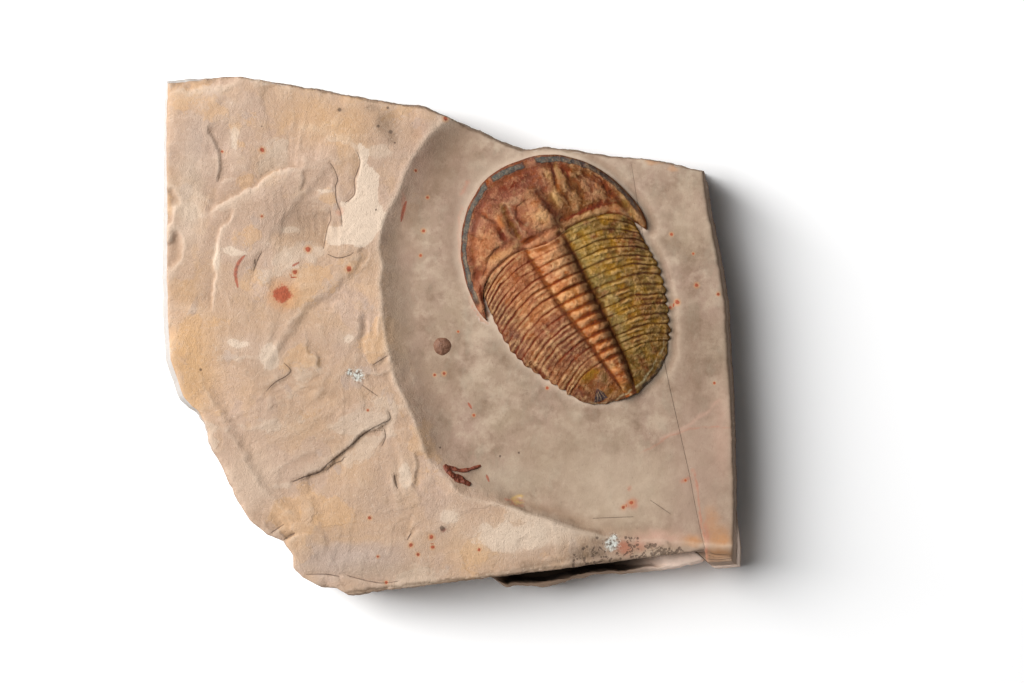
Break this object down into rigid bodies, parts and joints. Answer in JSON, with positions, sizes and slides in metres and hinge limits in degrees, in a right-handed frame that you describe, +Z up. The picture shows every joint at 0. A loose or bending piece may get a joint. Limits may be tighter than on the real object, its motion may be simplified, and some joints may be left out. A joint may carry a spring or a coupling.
{
  "type": "trilobite fossil",
  "caption": "Trilobite fossil set in a shallow prepared dish on a flat slab of mudstone, with small shells beside it; rests on its flat base.",
  "frame": {"origin": "middle of the slab's box at the height of its flat base, which lies on z = 0", "axes": "+X along the slab's length, towards the straight right side; +Y across it, from the sawn front edge to the back edge; +Z up, out of the worked face"},
  "size_m": [0.1012, 0.0894, 0.0192],
  "materials": {
    "mudstone": "matte",
    "fossil_shell": "satin",
    "brown_shell": "matte",
    "dark_shell": "satin"
  },
  "bodies": {
    "root": {"matrix": "mudstone", "trilobite": "fossil_shell", "round_shell": "brown_shell", "shell_fragment": "dark_shell"}
  },
  "joints": []
}
